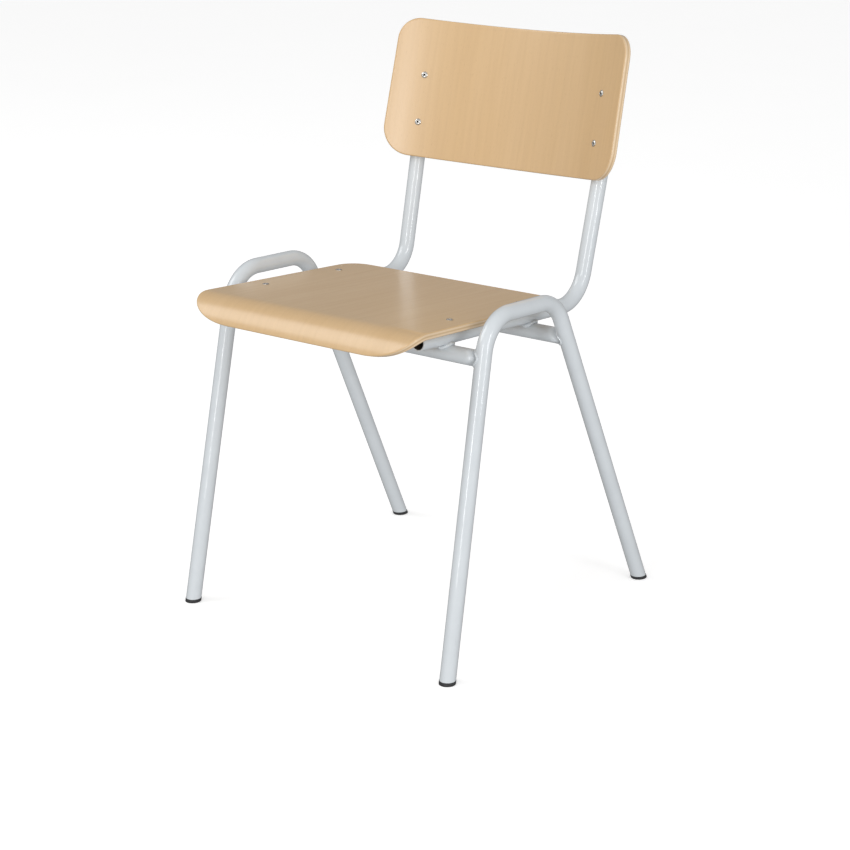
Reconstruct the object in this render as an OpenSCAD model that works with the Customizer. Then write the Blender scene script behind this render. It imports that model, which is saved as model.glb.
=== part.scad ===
// Stacking chair: two looped leg frames, two seat and back tubes, two cross tubes and two moulded plywood shells.
// Millimetres. The floor is z = 0, the sitter faces -Y, and "right" is the +X side, as seen from the front.

/* [Steel tube] */
// Outside diameter of every tube
tube_d = 22; // [20:0.5:24]
// Wall thickness of every tube
tube_wall = 2; // [1.5:0.25:3]

/* [Leg frames] */
// Half of the distance between the front feet
front_foot_x = 232; // [225:1:245]
// Depth position of the front feet
front_foot_y = -235.5; // [-250:0.5:-225]
// Half of the distance between the rear feet
rear_foot_x = 227; // [222:1:240]
// Depth position of the rear feet
rear_foot_y = 232; // [225:0.5:245]
// Half of the distance between the loops at their front corner
front_corner_x = 221.5; // [219:0.5:226]
// Depth position of the loop's front corner
front_corner_y = -135.5; // [-145:0.5:-125]
// Height of the loop's front corner
front_corner_z = 470; // [460:1:480]
// Half of the distance between the loops at their rear corner
rear_corner_x = 222; // [219:0.5:226]
// Depth position of the loop's rear corner
rear_corner_y = 13; // [7:0.5:20]
// Height of the loop's rear corner
rear_corner_z = 464.5; // [455:0.5:475]
// Bend radius of the leg frames, at the tube's centre line
leg_bend_r = 54; // [45:1:60]

/* [Seat and back tubes] */
// Half of the distance between the rails at their front end
rail_front_x = 162; // [155:1:168]
// Depth position of the rails' front end
rail_front_y = -204.5; // [-210:0.5:-195]
// Height of the rails' centre line at the front end
rail_front_z = 442.5; // [438:0.5:447]
// Half of the distance between the tubes at the lower rear corner
rail_rear_x = 158.5; // [155:0.5:165]
// Depth position of the lower rear corner
rail_rear_y = 161.5; // [155:0.5:170]
// Height of the lower rear corner
rail_rear_z = 422; // [418:0.5:426]
// Half of the distance between the uprights at their top
upright_top_x = 165.5; // [160:0.5:168]
// Depth position of the uprights' top
upright_top_y = 238.5; // [230:0.5:250]
// Height of the uprights' top
upright_top_z = 735; // [725:1:745]
// Bend radius of the seat and back tubes, at the centre line
rail_bend_r = 52; // [45:1:60]

/* [Cross tubes] */
// Height of the front cross tube's centre line
front_cross_z = 418; // [416:0.5:420]
// Height of the rear cross tube's centre line
rear_cross_z = 407.5; // [406:0.5:409]

/* [Seat shell] */
// Thickness of both plywood shells
ply_t = 9; // [8:0.5:11]
// Clearance between the plywood and the tubes under it
ply_gap = 0.2; // [0.1:0.1:0.5]
// Depth position where the waterfall front begins
knee_y = -221.5; // [-225:0.5:-215]
// Length of the flat part behind the waterfall
seat_flat = 304; // [285:1:315]
// Half width of the seat at the front corners
seat_front_x = 192; // [184:1:200]
// Half width of the seat at the rear corners
seat_rear_x = 190; // [180:1:198]
// Radius of the waterfall, on its upper face
nose_r = 42; // [36:1:56]
// Angle through which the waterfall turns down
nose_angle = 78; // [60:1:82]
// Width of the rounding at each front corner
front_round_x = 79; // [40:1:100]
// Length of the rounding at each front corner, along the curved face
front_round_s = 53; // [40:1:70]
// Fullness of the front corners, where 2 is an ellipse
front_fullness = 2.35; // [2:0.05:3]
// Radius of the rear corners
rear_round_r = 34; // [15:1:60]

/* [Back shell] */
// Radius of the back's front face, across its width
back_r = 405; // [380:1:600]
// Half width of the back at its upper corners, before bending
back_top_s = 208; // [195:1:220]
// Half width of the back at its lower corners, before bending
back_bottom_s = 211; // [195:1:220]
// Height of the back above the middle of its four rivets
back_above = 116; // [100:1:125]
// Height of the back below the middle of its four rivets
back_below = 85; // [70:1:100]
// Radius of the upper corners
back_top_round = 33; // [20:1:60]
// Radius of the lower corners
back_bottom_round = 41; // [20:1:60]
// Height of the middle of the four back rivets, on the uprights' centre lines
back_mid_z = 670; // [662:1:680]

/* [Rivets and feet] */
// Diameter of a rivet's shank
rivet_d = 4.8; // [4:0.2:5]
// Diameter of a rivet's domed head
rivet_head_d = 9.5; // [8:0.5:10]
// Height of a rivet's domed head
rivet_head_h = 1.6; // [1.2:0.1:2]
// Depth position of the front seat rivets
seat_rivet_front_y = -137; // [-155:0.5:-115]
// Depth position of the rear seat rivets
seat_rivet_rear_y = 15.5; // [-5:0.5:35]
// Half of the height between the upper and lower back rivets
back_rivet_h = 34.5; // [25:0.5:45]
// Height of the foot's visible ring
foot_h = 5; // [4:0.5:8]
// Height of the foot's plug above the floor
plug_top = 26; // [20:1:35]

/* [Hidden] */
$fn = 64;

front = 0;
rear = 1;
upper = 1;
lower = -1;
tube_r = tube_d / 2;
bore_d = tube_d - 2 * tube_wall;
rivet_hole_d = rivet_d + 0.2;
rivet_bore_d = 2.6;
corner_steps = 9;
seam_angle = 40;
collar_h = 0.4;
collar_grow = 0.4;

// Vector helpers
function unit(v) = v / norm(v);
function mix(a, b, t) = a + (b - a) * t;

// Centre lines of the bent tubes on the right side
front_foot = [front_foot_x, front_foot_y, 0];
front_corner = [front_corner_x, front_corner_y, front_corner_z];
rear_corner = [rear_corner_x, rear_corner_y, rear_corner_z];
rear_foot = [rear_foot_x, rear_foot_y, 0];
rail_front = [rail_front_x, rail_front_y, rail_front_z];
rail_rear = [rail_rear_x, rail_rear_y, rail_rear_z];
upright_top = [upright_top_x, upright_top_y, upright_top_z];

// Points of the legs at a cross tube's height
front_cross = mix(front_foot, front_corner, front_cross_z / front_corner_z);
rear_cross = mix(rear_foot, rear_corner, rear_cross_z / rear_corner_z);

// Slope and height of the seat, which lies on the rails
seat_pitch = atan2(rail_front.z - rail_rear.z, rail_rear.y - rail_front.y);
rail_at_knee = rail_front.z - (knee_y - rail_front.y) * tan(seat_pitch);
knee_z = rail_at_knee + (tube_r + ply_gap + ply_t) / cos(seat_pitch);
nose_s = nose_r * nose_angle * PI / 180;

// Lean of the back, which lies on the uprights
back_lean = atan2(upright_top.y - rail_rear.y, upright_top.z - rail_rear.z);
back_mid = mix(rail_rear, upright_top, (back_mid_z - rail_rear.z) / (upright_top.z - rail_rear.z));
back_axis_y = sqrt(pow(back_r + ply_t + ply_gap + tube_r, 2) - pow(back_mid.x, 2));
back_rivet_angle = atan2(back_mid.x, back_axis_y);

// Every sided piece is drawn on the right, and its left twin is the mirror image
module left_twin() {
    mirror([1, 0, 0])
        children();
}

// A straight cylinder from point a to point b, with its lengthwise seam turned off the planes that trim it
module rod(a, b, d) {
    v = b - a;
    translate(a)
        rotate([0, acos(v.z / norm(v)), atan2(v.y, v.x)])
            rotate([0, 0, seam_angle])
                cylinder(h = norm(v), d = d);
}

// A low collar at point p, which ties a straight run to its bend
module collar(p, toward, d) {
    step = unit(toward - p) * collar_h / 2;
    rod(p - step, p + step, d + collar_grow);
}

// Bend at corner p between the directions to a and to b
function turn_angle(a, p, b) = 180 - acos(unit(a - p) * unit(b - p));
function bend_start(a, p, b, r) = p + unit(a - p) * r * tan(turn_angle(a, p, b) / 2);
function bend_centre(a, p, b, r) =
    p + unit(unit(a - p) + unit(b - p)) * r / cos(turn_angle(a, p, b) / 2);

module bend(a, p, b, r, d) {
    c = bend_centre(a, p, b, r);
    start = bend_start(a, p, b, r);
    end = bend_start(b, p, a, r);
    ex = unit(start - c);
    ez = unit(cross(start - c, end - c));
    ey = cross(ez, ex);
    multmatrix([
        [ex.x, ey.x, ez.x, c.x],
        [ex.y, ey.y, ez.y, c.y],
        [ex.z, ey.z, ez.z, c.z],
        [0, 0, 0, 1],
    ])
        rotate_extrude(angle = turn_angle(a, p, b))
            translate([r, 0])
                circle(d = d);
    collar(start, a, d);
    collar(end, b, d);
}

// Solid bar of diameter d along a leg frame's centre line
module leg_bar(d) {
    a = front_foot;
    b = front_corner;
    c = rear_corner;
    e = rear_foot;
    rod(a, bend_start(a, b, c, leg_bend_r), d);
    bend(a, b, c, leg_bend_r, d);
    rod(bend_start(c, b, a, leg_bend_r), bend_start(b, c, e, leg_bend_r), d);
    bend(b, c, e, leg_bend_r, d);
    rod(bend_start(e, c, b, leg_bend_r), e, d);
}

// One leg frame: front leg, hand loop and rear leg bent from one tube
module leg_frame() {
    color("lightsteelblue")
        difference() {
            leg_bar(tube_d);
            leg_bar(bore_d);
            translate([100, -400, -100])
                cube([300, 800, 100 + foot_h]);
        }
}

// Solid bar of diameter d along a seat and back tube's centre line, longer by extra at both ends
module seat_back_bar(d, extra) {
    a = rail_front;
    b = rail_rear;
    c = upright_top;
    rod(a - unit(b - a) * extra, bend_start(a, b, c, rail_bend_r), d);
    bend(a, b, c, rail_bend_r, d);
    rod(bend_start(c, b, a, rail_bend_r), c + unit(c - b) * extra, d);
}

// One seat and back tube: rail under the seat and upright behind the back, open at both ends
module seat_back_tube() {
    color("gainsboro")
        difference() {
            seat_back_bar(tube_d, 0);
            seat_back_bar(bore_d, 1);
            for (place = [front, rear])
                at_seat_rivet(place)
                    rivet_hole();
            for (level = [upper, lower])
                at_back_rivet(level)
                    rivet_hole();
        }
}

// One cross tube, coped to both legs and saddled under both rails
module cross_tube(joint, foot, corner) {
    end_inset = 2;
    reach = joint.x - end_inset;
    color("silver")
        difference() {
            rod([-reach, joint.y, joint.z], [reach, joint.y, joint.z], tube_d);
            rod([-reach - 1, joint.y, joint.z], [reach + 1, joint.y, joint.z], bore_d);
            for (side = [0, 1])
                mirror([side, 0, 0]) {
                    rod(foot, corner, tube_d);
                    rod(rail_front, rail_rear, tube_d);
                }
        }
}

// One foot: a floor ring under the leg and a plug inside it
module foot(ground, corner) {
    below = mix(ground, corner, -0.05);
    foot_d = tube_d + 0.8;
    plug_d = bore_d - 0.4;
    color("dimgray") {
        intersection() {
            rod(below, corner, foot_d);
            translate([100, -400, 0])
                cube([300, 800, foot_h]);
        }
        intersection() {
            rod(below, corner, plug_d);
            translate([100, -400, foot_h / 2])
                cube([300, 800, plug_top - foot_h / 2]);
        }
    }
}

// Blind rivet: hollow domed head, shank and the swelled end inside the tube, head up and at z = 0
module rivet() {
    grip = ply_t + ply_gap + tube_wall;
    bulb = 4;
    color("gray")
        rotate_extrude()
            polygon([
                [rivet_bore_d / 2, rivet_head_h],
                [rivet_head_d * 0.25, rivet_head_h],
                [rivet_head_d * 0.4, rivet_head_h * 0.72],
                [rivet_head_d * 0.5, rivet_head_h * 0.2],
                [rivet_head_d * 0.5, 0],
                [rivet_d / 2, 0],
                [rivet_d / 2, -grip - 0.4],
                [rivet_d * 0.72, -grip - 1],
                [rivet_d * 0.72, -grip - bulb + 1],
                [rivet_d / 2, -grip - bulb],
                [rivet_bore_d / 2, -grip - bulb],
            ]);
}

// The hole that a rivet passes through, in the plywood and in the near wall of the tube
module rivet_hole() {
    depth = ply_t + ply_gap + tube_r;
    translate([0, 0, -depth])
        cylinder(h = depth + 5, d = rivet_hole_d);
}

// Seat frame: origin at the knee on the upper face, Y to the rear along the seat, Z out of it
module in_seat() {
    translate([0, knee_y, knee_z])
        rotate([-seat_pitch, 0, 0])
            children();
}

module at_seat_rivet(place) {
    y = place == front ? seat_rivet_front_y : seat_rivet_rear_y;
    t = (y - rail_front.y) / (rail_rear.y - rail_front.y);
    in_seat()
        translate([mix(rail_front.x, rail_rear.x, t), (y - knee_y) / cos(seat_pitch), 0])
            children();
}

// Back frame: origin between the uprights at the middle of the rivets, Z up along the uprights, -Y to the sitter
module in_back() {
    translate([0, back_mid.y, back_mid.z])
        rotate([-back_lean, 0, 0])
            children();
}

module at_back_rivet(level) {
    in_back()
        translate([0, -back_axis_y, level * back_rivet_h])
            rotate([0, 0, -back_rivet_angle])
                translate([0, back_r, 0])
                    rotate([90, 0, 0])
                        children();
}

// Place of a point that lies s in front of the knee along the curved upper face
function fold(s) = s < 0 ? -s : -nose_r * sin(s / nose_r * 180 / PI);

// Right half of the seat's outline, from the rear corner to the front corner
function seat_rear_corner() = [
    for (i = [0 : corner_steps])
        let (a = 90 * i / corner_steps)
            [
                seat_rear_x - rear_round_r * (1 - sin(a)),
                seat_flat - rear_round_r * (1 - cos(a)),
            ]
];
function seat_front_corner() = [
    for (i = [0 : corner_steps])
        let (a = 90 * i / corner_steps, power = 2 / front_fullness)
            [
                seat_front_x - front_round_x * (1 - pow(cos(a), power)),
                fold(nose_s - front_round_s * (1 - pow(sin(a), power))),
            ]
];
function seat_outline() =
    let (half = concat(seat_rear_corner(), seat_front_corner()), n = len(half))
        concat(half, [for (i = [n - 1 : -1 : 0]) [-half[i].x, half[i].y]]);

// Side profile of the seat: a flat board that rolls down at the front
module seat_profile() {
    translate([0, -ply_t])
        square([seat_flat + 10, ply_t]);
    intersection() {
        translate([0, -nose_r])
            difference() {
                circle(r = nose_r);
                circle(r = nose_r - ply_t);
            }
        polygon([
            [0, -nose_r],
            [0, 1],
            [-nose_r * 2, 1],
            [-nose_r * 2, -nose_r * 2],
            [-nose_r * 2 * sin(nose_angle), -nose_r + nose_r * 2 * cos(nose_angle)],
        ]);
    }
}

module seat_shell() {
    color("burlywood")
        difference() {
            in_seat()
                intersection() {
                    translate([-250, 0, 0])
                        rotate([90, 0, 90])
                            linear_extrude(500)
                                seat_profile();
                    translate([0, 0, -100])
                        linear_extrude(110)
                            polygon(seat_outline());
                }
            for (place = [front, rear])
                at_seat_rivet(place)
                    rivet_hole();
            for (place = [front, rear])
                left_twin()
                    at_seat_rivet(place)
                        rivet_hole();
        }
}

// Outline of the back, seen square on, with one rounded corner in each quarter
function back_x(s) = back_r * sin(s / back_r * 180 / PI);
function back_corner(x, z, r, from) = [
    for (i = [0 : corner_steps])
        let (a = from + 90 * i / corner_steps)
            [x + r * cos(a), z + r * sin(a)]
];
function back_outline() =
    let (
        top_x = back_x(back_top_s) - back_top_round,
        top_z = back_above - back_top_round,
        bottom_x = back_x(back_bottom_s) - back_bottom_round,
        bottom_z = back_bottom_round - back_below
    )
        concat(
            back_corner(top_x, top_z, back_top_round, 0),
            back_corner(-top_x, top_z, back_top_round, 90),
            back_corner(-bottom_x, bottom_z, back_bottom_round, 180),
            back_corner(bottom_x, bottom_z, back_bottom_round, 270)
        );

module back_shell() {
    color("burlywood")
        difference() {
            in_back()
                intersection() {
                    translate([0, -back_axis_y, -200])
                        difference() {
                            cylinder(h = 400, r = back_r + ply_t, $fn = 240);
                            translate([0, 0, -1])
                                cylinder(h = 402, r = back_r, $fn = 240);
                        }
                    translate([0, 100, 0])
                        rotate([90, 0, 0])
                            linear_extrude(300)
                                polygon(back_outline());
                }
            for (level = [upper, lower])
                at_back_rivet(level)
                    rivet_hole();
            for (level = [upper, lower])
                left_twin()
                    at_back_rivet(level)
                        rivet_hole();
        }
}

module leg_frame_left() { left_twin() leg_frame(); }
module leg_frame_right() { leg_frame(); }
module seat_back_tube_left() { left_twin() seat_back_tube(); }
module seat_back_tube_right() { seat_back_tube(); }
module front_cross_tube() { cross_tube(front_cross, front_foot, front_corner); }
module rear_cross_tube() { cross_tube(rear_cross, rear_foot, rear_corner); }
module foot_front_left() { left_twin() foot(front_foot, front_corner); }
module foot_front_right() { foot(front_foot, front_corner); }
module foot_rear_left() { left_twin() foot(rear_foot, rear_corner); }
module foot_rear_right() { foot(rear_foot, rear_corner); }
module seat_rivet_front_left() { left_twin() at_seat_rivet(front) rivet(); }
module seat_rivet_front_right() { at_seat_rivet(front) rivet(); }
module seat_rivet_rear_left() { left_twin() at_seat_rivet(rear) rivet(); }
module seat_rivet_rear_right() { at_seat_rivet(rear) rivet(); }
module back_rivet_upper_left() { left_twin() at_back_rivet(upper) rivet(); }
module back_rivet_upper_right() { at_back_rivet(upper) rivet(); }
module back_rivet_lower_left() { left_twin() at_back_rivet(lower) rivet(); }
module back_rivet_lower_right() { at_back_rivet(lower) rivet(); }

seat_shell();
back_shell();
leg_frame_left();
leg_frame_right();
seat_back_tube_left();
seat_back_tube_right();
front_cross_tube();
rear_cross_tube();
foot_front_left();
foot_front_right();
foot_rear_left();
foot_rear_right();
seat_rivet_front_left();
seat_rivet_front_right();
seat_rivet_rear_left();
seat_rivet_rear_right();
back_rivet_upper_left();
back_rivet_upper_right();
back_rivet_lower_left();
back_rivet_lower_right();
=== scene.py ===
"""Stacking chair: moulded plywood seat and back on powder-coated steel tubes.

Lengths are in metres. The floor is z = 0 and the sitter faces -Y. Right is +X, as seen from the front.
"""

import math
import random

import bpy
import numpy as np
from mathutils import Matrix, Quaternion, Vector


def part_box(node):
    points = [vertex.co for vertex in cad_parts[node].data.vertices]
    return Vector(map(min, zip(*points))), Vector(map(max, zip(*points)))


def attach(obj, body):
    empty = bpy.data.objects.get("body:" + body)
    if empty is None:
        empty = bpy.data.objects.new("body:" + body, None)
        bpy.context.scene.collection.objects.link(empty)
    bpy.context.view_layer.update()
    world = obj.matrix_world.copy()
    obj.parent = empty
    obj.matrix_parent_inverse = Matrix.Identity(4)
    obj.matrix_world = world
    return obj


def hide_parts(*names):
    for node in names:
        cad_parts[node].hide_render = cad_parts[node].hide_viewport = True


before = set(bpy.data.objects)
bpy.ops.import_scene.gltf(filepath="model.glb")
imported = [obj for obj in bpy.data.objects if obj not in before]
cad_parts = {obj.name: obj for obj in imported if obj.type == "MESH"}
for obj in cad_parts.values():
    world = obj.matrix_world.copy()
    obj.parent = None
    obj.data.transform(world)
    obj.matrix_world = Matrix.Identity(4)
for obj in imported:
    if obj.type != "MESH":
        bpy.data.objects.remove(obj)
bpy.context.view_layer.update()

mm = 0.001
RIGHT = "right"
LEFT = "left"

# ---- Driving dimensions --------------------------------------------------------------------------

# Sizes read from the frame
cross_low, cross_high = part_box("front_cross_tube")
tube_r = (cross_high.z - cross_low.z) / 2
front_cross = (cross_low + cross_high) / 2
rear_cross = sum(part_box("rear_cross_tube"), Vector()) / 2
foot_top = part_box("leg_frame_right")[0].z

# The tubes' wall, and the corners and bends of the right tubes' centre lines, as in the part's source
tube_wall = 2 * mm
front_foot = Vector((232, -235.5, 0)) * mm
front_corner = Vector((221.5, -135.5, 470)) * mm
rear_corner = Vector((222, 13, 464.5)) * mm
rear_foot = Vector((227, 232, 0)) * mm
leg_bend_r = 54 * mm
rail_front = Vector((162, -204.5, 442.5)) * mm
rail_rear = Vector((158.5, 161.5, 422)) * mm
upright_top = Vector((165.5, 238.5, 735)) * mm
rail_bend_r = 52 * mm
cope_inset = 2 * mm

# Plywood
ply_t = 9 * mm
ply_gap = 0.2 * mm
ply_layers = 5
arris_r = 1.9 * mm
face_inset = arris_r + 0.6 * mm

# Seat, in a frame at the knee: x across, v to the rear along the upper face
knee_y = -221.5 * mm
seat_flat = 304 * mm
seat_front_x = 192 * mm
seat_rear_x = 190 * mm
nose_r = 42 * mm
nose_angle = math.radians(78)
front_round_x = 79 * mm
front_round_s = 53 * mm
front_fullness = 2.35
rear_round_r = 34 * mm

# Back, in a frame between the uprights at the middle of its rivets: x across, z up
back_r = 405 * mm
back_top_s = 208 * mm
back_bottom_s = 211 * mm
back_above = 116 * mm
back_below = 85 * mm
back_top_round = 33 * mm
back_bottom_round = 41 * mm
back_mid_z = 670 * mm

# Feet and rivets
foot_r = tube_r + 0.4 * mm
plug_r = tube_r - tube_wall - 0.2 * mm
plug_top = 26 * mm
rib_h = 0.5 * mm
rib_pitch = 5 * mm
rivet_head_r = 4.75 * mm
rivet_head_h = 1.6 * mm

# Weld beads
leg_bead_r = 1.7 * mm
rail_bead_r = 2.6 * mm
rail_bead_reach = 10 * mm
ripple_pitch = 2.2 * mm

# Derived places
seat_pitch = math.atan2(rail_front.z - rail_rear.z, rail_rear.y - rail_front.y)
rail_at_knee = rail_front.z - (knee_y - rail_front.y) * math.tan(seat_pitch)
knee_z = rail_at_knee + (tube_r + ply_gap + ply_t) / math.cos(seat_pitch)
upright = upright_top - rail_rear
back_lean = math.atan2(upright.y, upright.z)
back_mid = rail_rear.lerp(upright_top, (back_mid_z - rail_rear.z) / upright.z)
back_axis_y = math.sqrt((back_r + ply_t + ply_gap + tube_r) ** 2 - back_mid.x ** 2)
seat_frame = Matrix.Translation((0, knee_y, knee_z)) @ Matrix.Rotation(-seat_pitch, 4, "X")
back_frame = Matrix.Translation((0, back_mid.y, back_mid.z)) @ Matrix.Rotation(-back_lean, 4, "X")

# What the light behind the chair falls on
chair_pieces = bpy.data.collections.new("chair_pieces")


# ---- Mesh helpers --------------------------------------------------------------------------------

def make_piece(name, verts, faces, materials, slot, node=None, face_material=None, grain=None):
    """A smooth mesh piece that rides on the chair and stands for a CAD node, if one is named."""
    mesh = bpy.data.meshes.new(name)
    mesh.from_pydata([tuple(v) for v in verts], [], faces)
    mesh.polygons.foreach_set("use_smooth", [True] * len(mesh.polygons))
    for material in materials:
        mesh.materials.append(material)
    if face_material:
        mesh.polygons.foreach_set("material_index", face_material)
    if grain:
        layer = mesh.attributes.new("grain", "FLOAT_VECTOR", "POINT")
        layer.data.foreach_set("vector", [c for g in grain for c in g])
    mesh.validate()
    mesh.update()
    piece = bpy.data.objects.new(name, mesh)
    bpy.context.scene.collection.objects.link(piece)
    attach(piece, "root")
    chair_pieces.objects.link(piece)
    if node:
        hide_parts(node)
    return piece


def mirrored(verts, faces):
    return [Vector((-v.x, v.y, v.z)) for v in verts], [tuple(reversed(f)) for f in faces]


def make_pair(name, verts, faces, materials, slot, node=None, face_material=None):
    """The same piece on the right and, mirrored, on the left."""
    for side in (RIGHT, LEFT):
        shape = (verts, faces) if side == RIGHT else mirrored(verts, faces)
        place = node + "_" + side if node else None
        make_piece(name + "_" + side, *shape, materials, slot, place, face_material)


def bridge(rings, closed):
    """Faces between rings of equal length, each ring a closed loop of vertex numbers."""
    faces = []
    pairs = list(zip(rings, rings[1:]))
    if closed:
        pairs.append((rings[-1], rings[0]))
    for low, high in pairs:
        for i in range(len(low)):
            k = (i + 1) % len(low)
            faces.append((low[i], low[k], high[k], high[i]))
    return faces


def circle(count):
    """The cosine and sine of equal steps round a circle."""
    angles = [2 * math.pi * i / count for i in range(count)]
    return [(math.cos(a), math.sin(a)) for a in angles]


def ring_numbers(ring_count, per_ring):
    return [list(range(r * per_ring, (r + 1) * per_ring)) for r in range(ring_count)]


# ---- Tubes ---------------------------------------------------------------------------------------

AROUND = 64
RIM = 0.35 * mm


def centre_line(corners, bend_r):
    """Points and directions along straight runs that are joined by bends."""
    line = [(corners[0], (corners[1] - corners[0]).normalized())]
    for before, corner, after in zip(corners, corners[1:], corners[2:]):
        into = (corner - before).normalized()
        out = (after - corner).normalized()
        turn = into.angle(out)
        axis = into.cross(out).normalized()
        start = corner - into * bend_r * math.tan(turn / 2)
        centre = start + axis.cross(into) * bend_r
        steps = math.ceil(turn / math.radians(2.5))
        for i in range(steps + 1):
            spin = Quaternion(axis, turn * i / steps)
            line.append((centre + spin @ (start - centre), spin @ into))
    line.append((corners[-1], (corners[-1] - corners[-2]).normalized()))
    return line


def frames_along(line):
    """A side and an up vector at each point, turned as little as possible from one to the next."""
    direction = line[0][1]
    side = direction.orthogonal().normalized()
    frames = []
    for point, tangent in line:
        side = direction.rotation_difference(tangent) @ side
        direction = tangent
        frames.append((point, tangent, side, tangent.cross(side)))
    return frames


def ring(frame_at, radius, along=0.0):
    point, tangent, side, up = frame_at
    return [point + tangent * along + (side * c + up * s) * radius for c, s in circle(AROUND)]


def rim_profile(outer_r, inner_r):
    """Radius and distance past the rim's start, round the end of a tube from its outside to its bore."""
    quarter = [math.radians(a) for a in (0, 22.5, 45, 67.5, 90)]
    outside = [(outer_r - RIM * (1 - math.cos(a)), RIM * math.sin(a) - RIM) for a in quarter]
    inside = [(inner_r + RIM * (1 - math.sin(a)), RIM * math.cos(a) - RIM) for a in quarter]
    return outside + inside


def hollow_tube(line, level_ends=False):
    """A tube with a bore and rounded rims: vertices, faces and a 1 for each face in the bore."""
    frames = frames_along(line)
    inner_r = tube_r - tube_wall
    rings = []

    def add_end(frame_at, sign, profile):
        for radius, along in profile:
            loop = ring(frame_at, radius, sign * along)
            if level_ends:
                point, tangent = frame_at[:2]
                height = point.z + tangent.z * sign * along
                loop = [v + tangent * (height - v.z) / tangent.z for v in loop]
            rings.append(loop)

    profile = rim_profile(tube_r, inner_r)
    for frame_at in frames[1:-1]:
        rings.append(ring(frame_at, tube_r))
    add_end(frames[-1], 1, profile)
    for frame_at in reversed(frames[1:-1]):
        rings.append(ring(frame_at, inner_r))
    add_end(frames[0], -1, list(reversed(profile)))
    verts = [v for loop in rings for v in loop]
    first_bore = len(frames) - 2 + len(profile) - 1
    bore_count = len(frames) - 1
    in_bore = []
    for k in range(len(rings)):
        in_bore += [int(first_bore <= k < first_bore + bore_count)] * AROUND
    return verts, bridge(ring_numbers(len(rings), AROUND), closed=True), in_bore


def below_foot_top(foot, corner):
    """The point of a leg's centre line where its foot ring ends."""
    return foot.lerp(corner, foot_top / corner.z)


def cope_x(y, z, foot, corner):
    """How far out a line along X at (y, z) goes before it meets the leg's outside."""
    axis = (corner - foot).normalized()
    offset = Vector((0, y, z)) - foot
    offset -= axis * offset.dot(axis)
    ahead = Vector((1, 0, 0)) - axis * axis.x
    a = ahead.dot(ahead)
    b = 2 * offset.dot(ahead)
    c = offset.dot(offset) - tube_r ** 2
    return (-b - math.sqrt(max(b * b - 4 * a * c, 0))) / (2 * a)


def cross_tube(joint, foot, corner):
    """Vertices and faces of a cross tube whose two ends are coped to the legs."""
    reach = foot.lerp(corner, joint.z / corner.z).x - cope_inset

    def loop(radius, share):
        verts = []
        for c, s in circle(AROUND):
            y = joint.y + radius * c
            z = joint.z + radius * s
            verts.append(Vector((share * min(cope_x(y, z, foot, corner), reach), y, z)))
        return verts

    inner_r = tube_r - tube_wall
    shares = [-1 + 2 * i / 24 for i in range(25)]
    rings = [loop(tube_r, s) for s in shares] + [loop(inner_r, s) for s in reversed(shares)]
    verts = [v for one in rings for v in one]
    faces = [tuple(reversed(f)) for f in bridge(ring_numbers(len(rings), AROUND), closed=True)]
    return verts, faces


# ---- Weld beads ----------------------------------------------------------------------------------

def weld_bead(route, bead_r, seed):
    """A lumpy bead along a closed route, with the ripples that a welder's steps leave."""
    chance = random.Random(seed)
    count = len(route)
    section = circle(12)
    length = sum((route[i] - route[i - 1]).length for i in range(count))
    ripples = max(6, round(length / ripple_pitch))
    lumps = [chance.uniform(0.9, 1.12) for _ in range(ripples)]
    verts = []
    for i, point in enumerate(route):
        tangent = (route[(i + 1) % count] - route[i - 1]).normalized()
        side = tangent.cross(Vector((0, 0, 1)))
        side = side.normalized() if side.length > 0.1 else tangent.orthogonal().normalized()
        up = tangent.cross(side)
        phase = i / count * ripples
        swell = 0.86 + 0.22 * abs(math.sin(math.pi * phase))
        radius = bead_r * swell * lumps[int(phase) % ripples]
        verts += [point + (side * c + up * s) * radius for c, s in section]
    return verts, bridge(ring_numbers(count, len(section)), closed=True)


def cope_route(joint, foot, corner):
    """The line where a cross tube meets its right leg."""
    reach = foot.lerp(corner, joint.z / corner.z).x - cope_inset
    route = []
    for c, s in circle(144):
        y = joint.y + tube_r * c
        z = joint.z + tube_r * s
        route.append(Vector((min(cope_x(y, z, foot, corner), reach), y, z)))
    return route


def saddle_route(joint):
    """A loop in the groove between a cross tube and the rail that lies across it."""
    rail_at = rail_front.lerp(rail_rear, (joint.y - rail_front.y) / (rail_rear.y - rail_front.y))
    contact_z = (rail_at.z - tube_r + joint.z + tube_r) / 2
    route = []
    for c, s in circle(96):
        x, y = rail_bead_reach * c, rail_bead_reach * s
        route.append(Vector((rail_at.x + x, joint.y + y, contact_z + (x * x - y * y) / (4 * tube_r))))
    return route


# ---- Plywood shells ------------------------------------------------------------------------------

def seat_surface(x, v, depth):
    """A point of the seat at depth below its upper face; v below 0 runs down the waterfall."""
    if v >= 0:
        flat = Vector((x, v, -depth))
    else:
        turn = -v / nose_r
        radius = nose_r - depth
        flat = Vector((x, -radius * math.sin(turn), radius * math.cos(turn) - nose_r))
    return seat_frame @ flat


def back_surface(x, v, depth):
    """A point of the back at depth behind its front face; x is measured along the curve."""
    turn = x / back_r
    radius = back_r + depth
    return back_frame @ Vector((radius * math.sin(turn), radius * math.cos(turn) - back_axis_y, v))


def arc_side(centre, radii, start, end, power=1.0, steps=20):
    """Outline points (x, v) and outward normals of a rounded corner, from one angle to another."""
    points = []
    for i in range(steps + 1):
        a = math.radians(start + (end - start) * i / steps)
        c, s = math.cos(a), math.sin(a)
        x = centre[0] + radii[0] * math.copysign(abs(c) ** power, c)
        v = centre[1] + radii[1] * math.copysign(abs(s) ** power, s)
        normal_x = math.copysign(abs(c) ** (2 - power), c) / radii[0]
        normal_v = math.copysign(abs(s) ** (2 - power), s) / radii[1]
        points.append((x, v, Vector((normal_x, normal_v)).normalized()))
    return points


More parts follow.
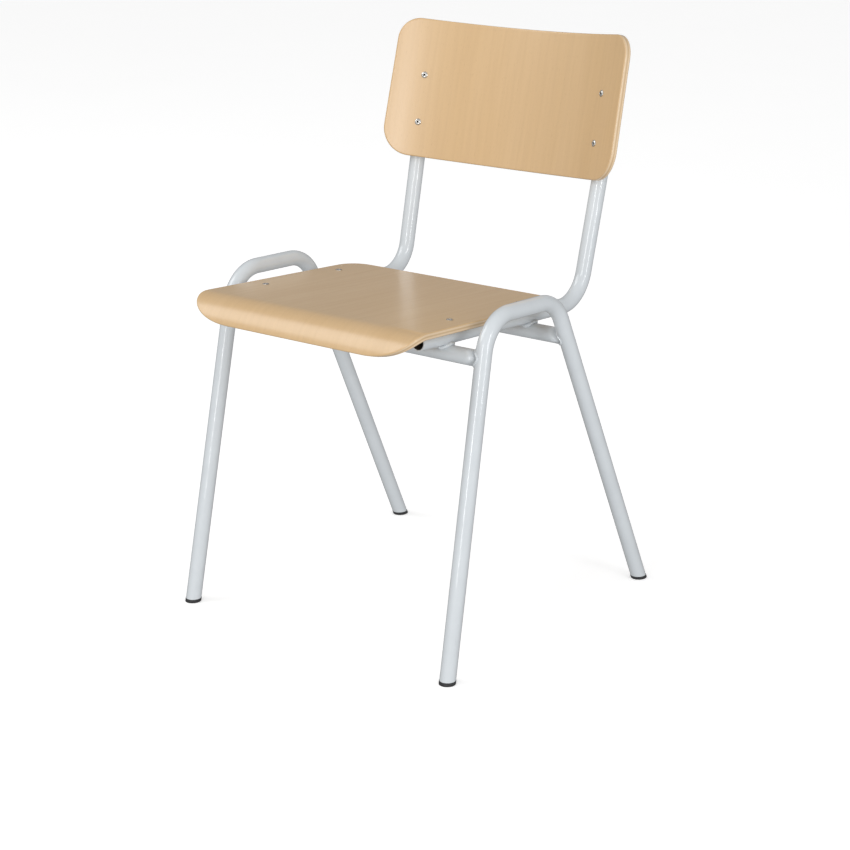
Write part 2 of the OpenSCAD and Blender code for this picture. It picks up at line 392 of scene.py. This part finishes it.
def straight_side(a, b, steps):
    """Outline points between two corners, without the corners' own points."""
    points = []
    for i in range(1, steps):
        t = i / steps
        x = a[0] + (b[0] - a[0]) * t
        v = a[1] + (b[1] - a[1]) * t
        points.append((x, v, a[2].lerp(b[2], t).normalized()))
    return points


def seat_side():
    """The seat's right side, from its rear edge round two corners to its front edge."""
    nose_v = -nose_r * nose_angle
    rear_centre = (seat_rear_x - rear_round_r, seat_flat - rear_round_r)
    rear = arc_side(rear_centre, (rear_round_r, rear_round_r), 90, 0)
    front_centre = (seat_front_x - front_round_x, nose_v + front_round_s)
    front_radii = (front_round_x, front_round_s)
    front = arc_side(front_centre, front_radii, 0, -90, power=2 / front_fullness, steps=36)
    return rear + straight_side(rear[-1], front[0], 48) + front


def back_side():
    """The back's right side, from its top edge round two corners to its bottom edge."""
    top_centre = (back_top_s - back_top_round, back_above - back_top_round)
    top = arc_side(top_centre, (back_top_round, back_top_round), 90, 0)
    bottom_centre = (back_bottom_s - back_bottom_round, back_bottom_round - back_below)
    bottom = arc_side(bottom_centre, (back_bottom_round, back_bottom_round), 0, -90)
    return top + straight_side(top[-1], bottom[0], 24) + bottom


def edge_profile():
    """Inset and depth from the upper face round the edge to the lower face."""
    quarter = [math.radians(a) for a in (0, 18, 36, 54, 72, 90)]
    upper = [(arris_r * (1 - math.sin(a)), arris_r * (1 - math.cos(a))) for a in quarter]
    lower = [(inset, ply_t - depth) for inset, depth in reversed(upper)]
    middle = [(0, arris_r + (ply_t - 2 * arris_r) * i / 8) for i in range(1, 8)]
    return upper + middle + lower


def plywood_shell(name, side, surface, columns, material, node):
    """A shell with two gridded faces and rounded arrises, and its grain coordinates (x, v, depth)."""
    rows = len(side)
    even = [2 * j / columns - 1 for j in range(columns + 1)]
    spread = [math.sin(math.pi / 2 * t) * 0.35 + t * 0.65 for t in even]
    coords = []

    def grid(depth):
        """Adds one face's points and returns their numbers, row by row."""
        first = len(coords)
        for x, v, normal in side:
            for u in spread:
                coords.append((u * (x - normal.x * face_inset), v - normal.y * face_inset, depth))
        return [[first + i * (columns + 1) + j for j in range(columns + 1)] for i in range(rows)]

    def border(numbers):
        """The numbers round the outside of a face's grid."""
        rear = numbers[0]
        right = [numbers[i][-1] for i in range(1, rows - 1)]
        front = list(reversed(numbers[-1]))
        left = [numbers[i][0] for i in range(rows - 2, 0, -1)]
        return rear + right + front + left

    def outline():
        """Points and outward normals round the shell's edge, in the same order as a border."""
        edge = []
        for u in spread:
            edge.append((u * side[0][0], side[0][1], 0.0, 1.0))
        for x, v, normal in side[1:-1]:
            edge.append((x, v, normal.x, normal.y))
        for u in reversed(spread):
            edge.append((u * side[-1][0], side[-1][1], 0.0, -1.0))
        for x, v, normal in reversed(side[1:-1]):
            edge.append((-x, v, -normal.x, normal.y))
        return edge

    upper = grid(0)
    lower = grid(ply_t)
    loops = [border(upper)]
    edge = outline()
    for inset, depth in edge_profile():
        loops.append(list(range(len(coords), len(coords) + len(edge))))
        coords.extend((x - nx * inset, v - nv * inset, depth) for x, v, nx, nv in edge)
    loops.append(border(lower))
    faces = bridge(loops, closed=False)
    for i in range(rows - 1):
        for j in range(columns):
            faces.append((upper[i][j], upper[i + 1][j], upper[i + 1][j + 1], upper[i][j + 1]))
            faces.append((lower[i][j], lower[i][j + 1], lower[i + 1][j + 1], lower[i + 1][j]))
    verts = [surface(*c) for c in coords]
    return make_piece(name, verts, faces, [material], "plywood", node, grain=coords)


# ---- Feet and rivets -----------------------------------------------------------------------------

def foot_shape(foot, corner):
    """A floor ring with rounded edges and a ribbed plug, both level and centred on the leaning leg."""
    soft = 0.7 * mm
    profile = [
        (foot_r * 0.55, 0.5 * mm),
        (foot_r * 0.6, 0.0),
        (foot_r - soft, 0.0),
        (foot_r - soft * 0.3, soft * 0.3),
        (foot_r, soft),
        (foot_r, foot_top - soft * 0.5),
        (foot_r - soft * 0.15, foot_top - soft * 0.15),
        (foot_r - soft * 0.5, foot_top),
        (plug_r, foot_top),
    ]
    for i in range(3):
        base = foot_top + 3 * mm + rib_pitch * i
        profile += [(plug_r - rib_h, base), (plug_r, base + 0.6 * mm)]
        profile += [(plug_r, base + 2 * mm), (plug_r - rib_h, base + 2.6 * mm)]
    profile += [(plug_r - 1.2 * mm, plug_top)]
    axis = (corner - foot).normalized()
    side = Vector((0, 1, 0)).cross(axis).normalized()
    up = axis.cross(side)
    verts = []
    for radius, z in profile:
        centre = foot.lerp(corner, z / corner.z)
        for c, s in circle(AROUND):
            v = centre + (side * c + up * s) * radius
            verts.append(v + axis * (z - v.z) / axis.z)
    rings = ring_numbers(len(profile), AROUND)
    faces = bridge(rings, closed=False)
    verts += [foot.lerp(corner, profile[0][1] / corner.z), foot.lerp(corner, plug_top / corner.z)]
    for i in range(AROUND):
        k = (i + 1) % AROUND
        faces.append((rings[0][k], rings[0][i], len(verts) - 2))
        faces.append((rings[-1][i], rings[-1][k], len(verts) - 1))
    return verts, faces


def turned_axis(node):
    """The centre of a turned CAD node, its axis towards its fatter end, and how far that end is."""
    points = {tuple(round(c, 7) for c in v.co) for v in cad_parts[node].data.vertices}
    co = np.array(sorted(points))
    centre = co.mean(0)
    axis = np.linalg.svd(co - centre)[2][0]
    along = (co - centre) @ axis
    radius = np.linalg.norm((co - centre) - np.outer(along, axis), axis=1)
    if along[radius.argmax()] < 0:
        axis, along = -axis, -along
    return Vector(centre), Vector(axis), along.max()


def rivet(node, materials):
    """A domed blind rivet head with its mandrel broken off inside, on a short shank."""
    centre, axis, top = turned_axis(node)
    seat = centre + axis * (top - rivet_head_h)
    bore = [(0.3, 0.1), (0.3, 0.5), (0.32, 0.78)]
    crown = [(0.35, 0.93), (0.4, 0.99), (0.46, 1.0), (0.56, 0.97), (0.67, 0.89)]
    brim = [(0.78, 0.76), (0.88, 0.6), (0.95, 0.45), (0.99, 0.33), (1.0, 0.26), (1.0, 0.02)]
    shank = [(0.97, -0.04), (0.5, -0.04), (0.5, -2.0), (0.3, -2.2)]
    profile = bore + crown + brim + shank
    side = axis.orthogonal().normalized()
    up = axis.cross(side)
    around = 40
    verts = []
    for share, height in profile:
        rise = axis * (height * rivet_head_h)
        reach = share * rivet_head_r
        verts += [seat + (side * c + up * s) * reach + rise for c, s in circle(around)]
    rings = ring_numbers(len(profile), around)
    faces = [tuple(reversed(f)) for f in bridge(rings, closed=False)]
    # The hole's bottom and the lower part of its wall take the near-black second material: painted
    # shadow in the hole
    dark = [1] * around + [0] * (len(faces) - around)
    verts += [seat + axis * (0.24 * rivet_head_h), seat - axis * (2.2 * rivet_head_h)]
    for i in range(around):
        k = (i + 1) % around
        faces.append((rings[0][i], rings[0][k], len(verts) - 2))
        faces.append((rings[-1][k], rings[-1][i], len(verts) - 1))
        dark += [1, 0]
    name = "rivet_" + node.replace("_rivet", "")
    make_piece(name, verts, faces, materials, "rivet_steel", node, dark)


# ---- Materials -----------------------------------------------------------------------------------

class Shader:
    """A new material's node tree, with short ways to add and join nodes."""

    def __init__(self, name):
        self.material = bpy.data.materials.new(name)
        self.material.use_nodes = True
        self.nodes = self.material.node_tree.nodes
        self.links = self.material.node_tree.links
        self.surface = self.nodes["Principled BSDF"]

    def add(self, kind, inputs=(), **settings):
        node = self.nodes.new("ShaderNode" + kind)
        for key, value in settings.items():
            setattr(node, key, value)
        for key, value in dict(inputs).items():
            self.put(value, node.inputs[key])
        return node

    def put(self, value, socket):
        if isinstance(value, bpy.types.NodeSocket):
            self.links.new(value, socket)
        else:
            socket.default_value = value

    def math(self, operation, *values):
        node = self.add("Math", operation=operation)
        for value, socket in zip(values, node.inputs):
            self.put(value, socket)
        return node.outputs[0]

    def noise(self, vector, scale, detail=2.0, roughness=0.5):
        values = {"Vector": vector, "Scale": scale, "Detail": detail, "Roughness": roughness}
        return self.add("TexNoise", values).outputs["Fac"]

    def stretched(self, vector, scale):
        node = self.add("VectorMath", operation="MULTIPLY")
        self.put(vector, node.inputs[0])
        self.put(scale, node.inputs[1])
        return node.outputs[0]

    def ramp(self, factor, low, high):
        """The factor, stretched so that low becomes 0 and high becomes 1."""
        node = self.add("MapRange", {"Value": factor, "From Min": low, "From Max": high})
        return node.outputs["Result"]

    def mix(self, factor, a, b, blend="MIX"):
        node = self.add("Mix", data_type="RGBA", blend_type=blend)
        self.put(factor, node.inputs[0])
        self.put(a, node.inputs[6])
        self.put(b, node.inputs[7])
        return node.outputs[2]

    def bump(self, height, strength, distance):
        node = self.add("Bump", {"Height": height, "Strength": strength, "Distance": distance})
        self.put(node.outputs[0], self.surface.inputs["Normal"])

    def set(self, **values):
        for key, value in values.items():
            self.put(value, self.surface.inputs[key.replace("_", " ")])


def beech_plywood():
    s = Shader("beech_plywood")
    grain = s.add("Attribute", attribute_name="grain", attribute_type="GEOMETRY").outputs["Vector"]
    depth = s.add("SeparateXYZ", {"Vector": grain}).outputs[2]
    broad = s.noise(s.stretched(grain, (16, 2.4, 16)), 1.0, 3.0)
    streak = s.noise(s.stretched(grain, (150, 5, 150)), 1.0, 4.0, 0.6)
    fibre = s.noise(s.stretched(grain, (1500, 40, 1500)), 1.0, 3.0, 0.65)
    fleck = s.ramp(s.noise(s.stretched(grain, (1000, 150, 1000)), 1.0, 1.0), 0.64, 0.74)
    tone = s.mix(s.ramp(broad, 0.3, 0.7), (0.655, 0.44, 0.222, 1), (0.685, 0.47, 0.25, 1))
    tone = s.mix(s.math("MULTIPLY", s.ramp(streak, 0.4, 0.75), 0.3), tone, (0.56, 0.365, 0.19, 1))
    tone = s.mix(s.math("MULTIPLY", fleck, 0.2), tone, (0.4, 0.235, 0.11, 1))

    # Edge plies: end grain, a little darker, between lighter long-grain layers
    layer = s.math("PINGPONG", s.math("MULTIPLY", depth, (ply_layers - 1) / ply_t), 1.0)
    below_top = s.ramp(depth, 0.5 * mm, 0.9 * mm)
    above_bottom = s.ramp(depth, ply_t - 0.5 * mm, ply_t - 0.9 * mm)
    inner = s.math("MULTIPLY", below_top, above_bottom)
    plies = s.mix(s.ramp(layer, 0.35, 0.65), (0.6, 0.42, 0.24, 1), (0.78, 0.6, 0.4, 1))
    tone = s.mix(s.math("MULTIPLY", inner, 0.85), tone, plies)

    height = s.math("SUBTRACT", s.math("MULTIPLY", fibre, 0.5), s.math("MULTIPLY", fleck, 0.6))
    s.bump(height, 0.12, 0.12 * mm)
    roughness = s.math("ADD", s.math("MULTIPLY", streak, 0.12), 0.36)
    s.set(Base_Color=tone, Roughness=roughness, Specular_IOR_Level=0.1)
    s.set(Coat_Weight=1.0, Coat_Roughness=0.25, Coat_IOR=1.6)
    return s.material


def powder_coat():
    s = Shader("powder_coat")
    place = s.add("TexCoord").outputs["Object"]
    peel = s.noise(place, 380.0, 2.0)
    dust = s.noise(place, 26.0, 4.0, 0.6)
    rub = s.ramp(s.noise(s.stretched(place, (60, 60, 14)), 1.0, 5.0, 0.7), 0.64, 0.8)
    tone = s.mix(s.ramp(dust, 0.35, 0.7), (0.64, 0.68, 0.71, 1), (0.675, 0.715, 0.745, 1))
    tone = s.mix(s.math("MULTIPLY", rub, 0.18), tone, (0.42, 0.44, 0.46, 1))
    roughness = s.math("ADD", s.math("MULTIPLY", dust, 0.1), 0.3)
    s.bump(peel, 0.06, 0.1 * mm)
    s.set(Base_Color=tone, Roughness=roughness, Coat_Weight=1.0, Coat_Roughness=0.04)
    return s.material


def tube_bore():
    s = Shader("tube_bore")
    place = s.add("TexCoord").outputs["Object"]
    # Dark steel with a mottle of scale, painted near-black as the shade inside the tube
    scale = s.noise(place, 160.0, 4.0, 0.65)
    tone = s.mix(s.ramp(scale, 0.35, 0.7), (0.035, 0.034, 0.033, 1), (0.1, 0.085, 0.07, 1))
    s.bump(scale, 0.3, 0.2 * mm)
    s.set(Base_Color=tone, Metallic=0.3, Roughness=0.7)
    return s.material


def foot_plastic():
    s = Shader("foot_plastic")
    place = s.add("TexCoord").outputs["Object"]
    grit = s.noise(place, 900.0, 3.0)
    scuff = s.ramp(s.noise(s.stretched(place, (120, 120, 500)), 1.0, 4.0), 0.55, 0.75)
    tone = s.mix(s.math("MULTIPLY", scuff, 0.5), (0.018, 0.018, 0.02, 1), (0.07, 0.07, 0.07, 1))
    s.bump(grit, 0.25, 0.1 * mm)
    roughness = s.math("ADD", s.math("MULTIPLY", grit, 0.2), 0.42)
    s.set(Base_Color=tone, Roughness=roughness)
    return s.material


def rivet_steel():
    s = Shader("rivet_steel")
    place = s.add("TexCoord").outputs["Object"]
    brushed = s.noise(s.stretched(place, (2600, 2600, 500)), 1.0, 3.0)
    tarnish = s.noise(place, 700.0, 3.0)
    tone = s.mix(s.ramp(tarnish, 0.4, 0.75), (0.62, 0.61, 0.58, 1), (0.4, 0.38, 0.35, 1))
    s.bump(brushed, 0.2, 0.05 * mm)
    roughness = s.math("ADD", s.math("MULTIPLY", brushed, 0.18), 0.16)
    s.set(Base_Color=tone, Metallic=1.0, Roughness=roughness)
    return s.material


def rivet_bore():
    s = Shader("rivet_bore")
    place = s.add("TexCoord").outputs["Object"]
    rough = s.noise(place, 2400.0, 3.0)
    # Near-black with a little grit: painted shadow in the rivet's hole
    tone = s.mix(rough, (0.004, 0.004, 0.004, 1), (0.02, 0.018, 0.015, 1))
    s.bump(rough, 0.4, 0.1 * mm)
    s.set(Base_Color=tone, Roughness=0.8, Specular_IOR_Level=0.1)
    return s.material


def studio_floor():
    """A pale floor with some glow of its own, so that shadows on it stay faint."""
    s = Shader("studio_floor")
    place = s.add("TexCoord").outputs["Object"]
    paper = s.noise(place, 3.0, 3.0)
    tone = s.mix(paper, (0.79, 0.79, 0.79, 1), (0.81, 0.81, 0.81, 1))
    s.set(Base_Color=tone, Roughness=0.9, Specular_IOR_Level=0.1)
    s.set(Emission_Color=(1.0, 1.0, 1.0, 1), Emission_Strength=0.47)
    return s.material


# ---- The chair -----------------------------------------------------------------------------------

def build_tubes(paint, bore):
    front_end = below_foot_top(front_foot, front_corner)
    rear_end = below_foot_top(rear_foot, rear_corner)
    leg_line = centre_line([front_end, front_corner, rear_corner, rear_end], leg_bend_r)
    verts, faces, in_bore = hollow_tube(leg_line, level_ends=True)
    make_pair("leg_tube", verts, faces, [paint, bore], "powder_coat", "leg_frame", in_bore)
    rail_line = centre_line([rail_front, rail_rear, upright_top], rail_bend_r)
    verts, faces, in_bore = hollow_tube(rail_line)
    make_pair("rail_tube", verts, faces, [paint, bore], "powder_coat", "seat_back_tube", in_bore)
    joints = {
        "front": (front_cross, front_foot, front_corner),
        "rear": (rear_cross, rear_foot, rear_corner),
    }
    for seed, (name, joint) in enumerate(joints.items()):
        node = name + "_cross_tube"
        make_piece("cross_tube_" + name, *cross_tube(*joint), [paint], "powder_coat", node)
        leg_weld = weld_bead(cope_route(*joint), leg_bead_r, seed)
        make_pair("leg_weld_" + name, *leg_weld, [paint], "powder_coat")
        rail_weld = weld_bead(saddle_route(joint[0]), rail_bead_r, seed + 7)
        make_pair("rail_weld_" + name, *rail_weld, [paint], "powder_coat")


def build_shells(wood):
    plywood_shell("seat_plywood", seat_side(), seat_surface, 56, wood, "seat_shell")
    plywood_shell("back_plywood", back_side(), back_surface, 72, wood, "back_shell")


def build_feet(plastic):
    front = foot_shape(front_foot, front_corner)
    make_pair("foot_glide_front", *front, [plastic], "foot_plastic", "foot_front")
    rear = foot_shape(rear_foot, rear_corner)
    make_pair("foot_glide_rear", *rear, [plastic], "foot_plastic", "foot_rear")


def build_rivets(steel, bore):
    for node in sorted(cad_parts):
        if "_rivet_" in node:
            rivet(node, [steel, bore])


# ---- Studio --------------------------------------------------------------------------------------

def stage_set(name, verts, faces, material):
    """A part of the studio, whose glow neither lights the chair nor shows in its paint."""
    mesh = bpy.data.meshes.new(name)
    mesh.from_pydata(verts, [], faces)
    mesh.materials.append(material)
    item = bpy.data.objects.new(name, mesh)
    item.visible_diffuse = False
    item.visible_glossy = False
    bpy.context.scene.collection.objects.link(item)
    return item


def build_floor_and_wall(pale):
    """A wide pale floor, and far away a round wall that stands behind the chair in low views."""
    reach = 30.0
    corners = [(-reach, -reach, 0), (reach, -reach, 0), (reach, reach, 0), (-reach, reach, 0)]
    stage_set("studio_floor", corners, [(0, 1, 2, 3)], pale)
    count = 96
    verts = [(reach * c, reach * s, z) for z in (0, reach) for c, s in circle(count)]
    faces = bridge(ring_numbers(2, count), closed=False)
    wall = stage_set("studio_wall", verts, faces, pale)
    wall.visible_shadow = False


def build_softbox(name, azimuth, height, distance, width, tall, glow):
    """A light panel that faces the seat; azimuth 0 is in front of the chair, 90 to the right."""
    lamp = bpy.data.lights.new(name, "AREA")
    lamp.shape = "RECTANGLE"
    lamp.size = width
    lamp.size_y = tall
    lamp.energy = glow * math.pi * width * tall
    turn = math.radians(azimuth)
    place = Vector((distance * math.sin(turn), -distance * math.cos(turn), height))
    holder = bpy.data.objects.new(name, lamp)
    holder.location = place
    holder.rotation_euler = (Vector((0, 0, knee_z)) - place).to_track_quat("-Z", "Y").to_euler()
    holder.visible_camera = False
    bpy.context.scene.collection.objects.link(holder)
    return holder


def build_world():
    """A pale studio, brightest in front of the chair and to the right."""
    world = bpy.data.worlds.new("studio")
    bpy.context.scene.world = world
    world.use_nodes = True
    nodes, links = world.node_tree.nodes, world.node_tree.links
    direction = nodes.new("ShaderNodeTexCoord").outputs["Generated"]
    across = nodes.new("ShaderNodeVectorMath")
    across.operation = "DOT_PRODUCT"
    links.new(direction, across.inputs[0])
    across.inputs[1].default_value = (0.6, -0.65, 0.25)
    shade = nodes.new("ShaderNodeMapRange")
    links.new(across.outputs["Value"], shade.inputs["Value"])
    shade.inputs["From Min"].default_value = -0.6
    shade.inputs["From Max"].default_value = 1.0
    shade.inputs["To Min"].default_value = 0.3
    shade.inputs["To Max"].default_value = 0.9
    background = nodes["Background"]
    background.inputs["Color"].default_value = (1.0, 1.0, 1.0, 1)
    links.new(shade.outputs["Result"], background.inputs["Strength"])


def build_camera():
    """A long lens 1.13 m above the floor, three-quarter from the front right."""
    camera = bpy.data.cameras.new("camera")
    camera.lens = 86.4
    camera.sensor_width = 36
    camera.shift_x = -0.0011
    camera.shift_y = 0.0284
    camera.clip_start = 0.05
    holder = bpy.data.objects.new("camera", camera)
    place = Vector((1.7307, -2.1543, 1.1295))
    aim = Vector((0.0015, 0.012, 0.2115))
    roll = -0.0071
    turn = (aim - place).to_track_quat("-Z", "Y") @ Quaternion((0, 0, 1), roll)
    holder.matrix_world = Matrix.Translation(place) @ turn.to_matrix().to_4x4()
    bpy.context.scene.collection.objects.link(holder)
    bpy.context.scene.camera = holder


build_tubes(powder_coat(), tube_bore())
build_shells(beech_plywood())
build_feet(foot_plastic())
build_rivets(rivet_steel(), rivet_bore())

build_floor_and_wall(studio_floor())
build_world()
build_softbox("key_softbox", -52, height=3.2, distance=3.4, width=2.4, tall=2.6, glow=2.55)
build_softbox("left_strip", 14, height=0.9, distance=4.0, width=0.45, tall=2.6, glow=9.0)
build_softbox("right_strip", 78, height=1.3, distance=4.0, width=0.45, tall=2.6, glow=9.0)
rear_fill = build_softbox("rear_fill", -141, height=0.9, distance=4.0, width=3.0, tall=1.6, glow=2.6)
rear_fill.visible_glossy = False
rear_fill.light_linking.receiver_collection = chair_pieces
build_camera()
bpy.context.scene.view_settings.view_transform = "Standard"
